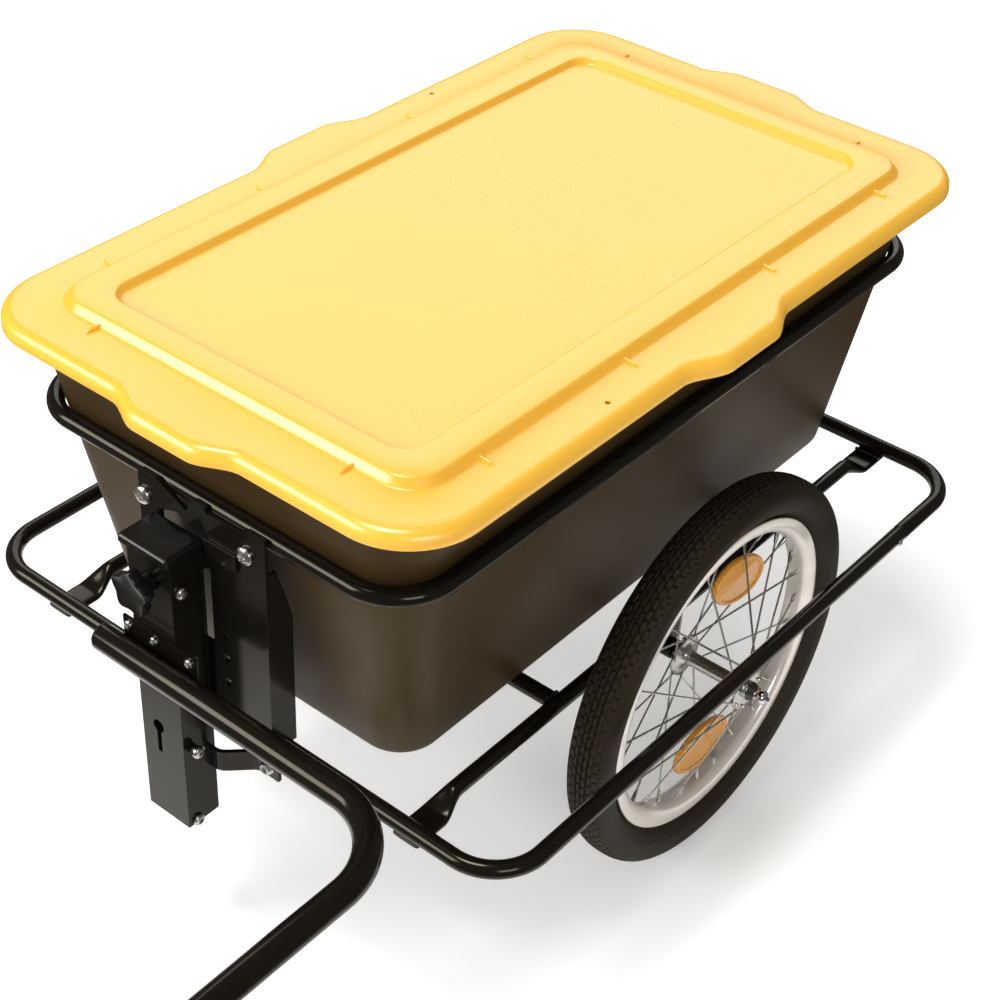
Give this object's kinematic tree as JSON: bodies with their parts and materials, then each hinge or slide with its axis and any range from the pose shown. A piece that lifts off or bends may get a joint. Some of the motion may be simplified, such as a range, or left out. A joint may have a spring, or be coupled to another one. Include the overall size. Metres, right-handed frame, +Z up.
{
  "type": "bicycle trailer",
  "caption": "Two-wheeled bicycle trailer for shopping: tube frame, tapered tub with lift-off lid, hitch post with swing-up drawbar, spoked wheels on pull-out axles.",
  "frame": {"origin": "on the ground under the centre of the bounding box", "axes": "+Z up, -Y ahead towards the bicycle, +X to the trailer's left"},
  "size_m": [0.6612, 1.4586, 0.5633],
  "materials": {
    "black_paint": "gloss black paint",
    "tub_plastic": "satin moulded plastic",
    "lid_plastic": "smooth moulded plastic",
    "zinc": "bright zinc plated",
    "chrome": "polished",
    "dark_steel": "dark oiled steel",
    "aluminium": "polished",
    "tyre_rubber": "matt rubber",
    "soft_black": "satin",
    "amber": "clear prismatic"
  },
  "bodies": {
    "frame": {"lower_loop_front": "black_paint", "lower_loop_rear": "black_paint", "rivet_left": "zinc", "rivet_right": "zinc", "rail_left": "black_paint", "rail_right": "black_paint", "cross_member_front": "black_paint", "cross_member_rear": "black_paint", "rim_loop": "black_paint", "hitch_bracket": "black_paint", "rear_bracket": "black_paint", "bracket_screw_left": "zinc", "bracket_screw_right": "zinc", "bracket_nut_left": "zinc", "bracket_nut_right": "zinc", "post": "black_paint", "post_cap": "soft_black", "post_screw_top": "zinc", "post_screw_middle": "zinc", "post_screw_bottom": "zinc", "post_standoff": "dark_steel", "stay": "black_paint", "stay_bolt": "zinc", "drawbar_saddle": "black_paint", "saddle_screw_right": "zinc", "saddle_screw_middle": "zinc", "saddle_screw_left": "zinc", "tub": "tub_plastic", "socket_left": "black_paint", "socket_right": "black_paint"},
    "lid": {"lid": "lid_plastic"},
    "knob": {"star_knob": "soft_black"},
    "drawbar": {"drawbar": "black_paint", "drawbar_plug": "soft_black", "coupling_fork": "black_paint"},
    "coupling_pin": {"coupling_pin": "zinc"},
    "wheel_left": {"tyre_left": "tyre_rubber", "rim_left": "aluminium", "hub_left": "zinc", "cone_inner_left": "dark_steel", "cone_outer_left": "dark_steel", "reflector_upper_left": "amber", "reflector_lower_left": "amber", "valve_left": "soft_black"},
    "axle_left": {"axle_left": "chrome"},
    "button_left": {"button_left": "chrome"},
    "wheel_right": {"tyre_right": "tyre_rubber", "rim_right": "aluminium", "hub_right": "zinc", "cone_inner_right": "dark_steel", "cone_outer_right": "dark_steel", "reflector_upper_right": "amber", "reflector_lower_right": "amber", "valve_right": "soft_black"},
    "axle_right": {"axle_right": "chrome"},
    "button_right": {"button_right": "chrome"}
  },
  "joints": [
    {"name": "lid_lift", "type": "slide", "parent": "frame", "child": "lid", "axis": [0, 0, 1], "range_m": [0, 0.25]},
    {"name": "knob_turn", "type": "hinge", "parent": "frame", "child": "knob", "pos_m": [-0.017, -0.12425, 0.4013], "axis": [0, -1, 0], "continuous": true},
    {"name": "drawbar_swing", "type": "hinge", "parent": "frame", "child": "drawbar", "pos_m": [-0.017, -0.12665, 0.3243], "axis": [-1, 0, 0], "range_deg": [0, 90]},
    {"name": "coupling_pin_pull", "type": "slide", "parent": "drawbar", "child": "coupling_pin", "axis": [0, 0, 1], "range_m": [0, 0.05]},
    {"name": "wheel_spin_left", "type": "hinge", "parent": "frame", "child": "wheel_left", "pos_m": [0.26399, 0.30575, 0.196], "axis": [1, 0, 0], "continuous": true},
    {"name": "axle_pull_left", "type": "slide", "parent": "frame", "child": "axle_left", "axis": [1, 0, 0], "range_m": [0, 0.125]},
    {"name": "button_press_left", "type": "slide", "parent": "axle_left", "child": "button_left", "axis": [-1, 0, 0], "range_m": [0, 0.0025], "stiffness_N_per_m": 500},
    {"name": "wheel_spin_right", "type": "hinge", "parent": "frame", "child": "wheel_right", "pos_m": [-0.26399, 0.30575, 0.196], "axis": [1, 0, 0], "continuous": true},
    {"name": "axle_pull_right", "type": "slide", "parent": "frame", "child": "axle_right", "axis": [-1, 0, 0], "range_m": [0, 0.125]},
    {"name": "button_press_right", "type": "slide", "parent": "axle_right", "child": "button_right", "axis": [1, 0, 0], "range_m": [0, 0.0025], "stiffness_N_per_m": 500}
  ]
}
